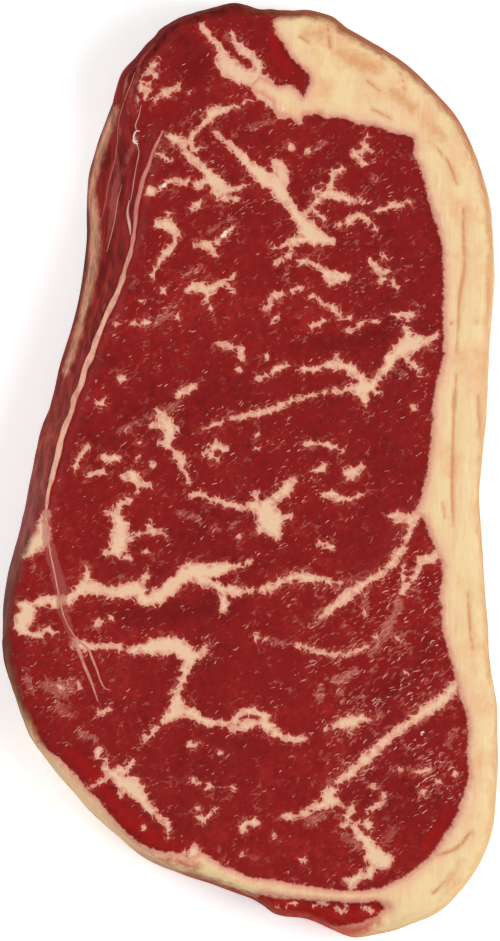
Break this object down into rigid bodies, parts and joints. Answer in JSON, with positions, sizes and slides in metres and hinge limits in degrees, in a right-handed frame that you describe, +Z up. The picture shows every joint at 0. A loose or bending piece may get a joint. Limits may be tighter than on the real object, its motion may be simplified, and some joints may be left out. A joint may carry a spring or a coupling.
{
  "type": "raw sirloin steak",
  "caption": "Thick boneless slice of raw sirloin lying flat on a cut face, a long rounded slab with marbled lean, a fat cap down one long side and silver skin down the other",
  "frame": {"origin": "middle of the underside's bounding box, on the plane the steak lies on", "axes": "+Y runs the length of the steak towards its narrow end, +X crosses it towards the fat cap, +Z is up through its thickness"},
  "size_m": [0.106, 0.2, 0.0252],
  "materials": {
    "raw_meat": "wet cherry-red lean with cream fat, soft and slightly glossy"
  },
  "bodies": {
    "root": {"sirloin_steak": "raw_meat"}
  },
  "joints": []
}
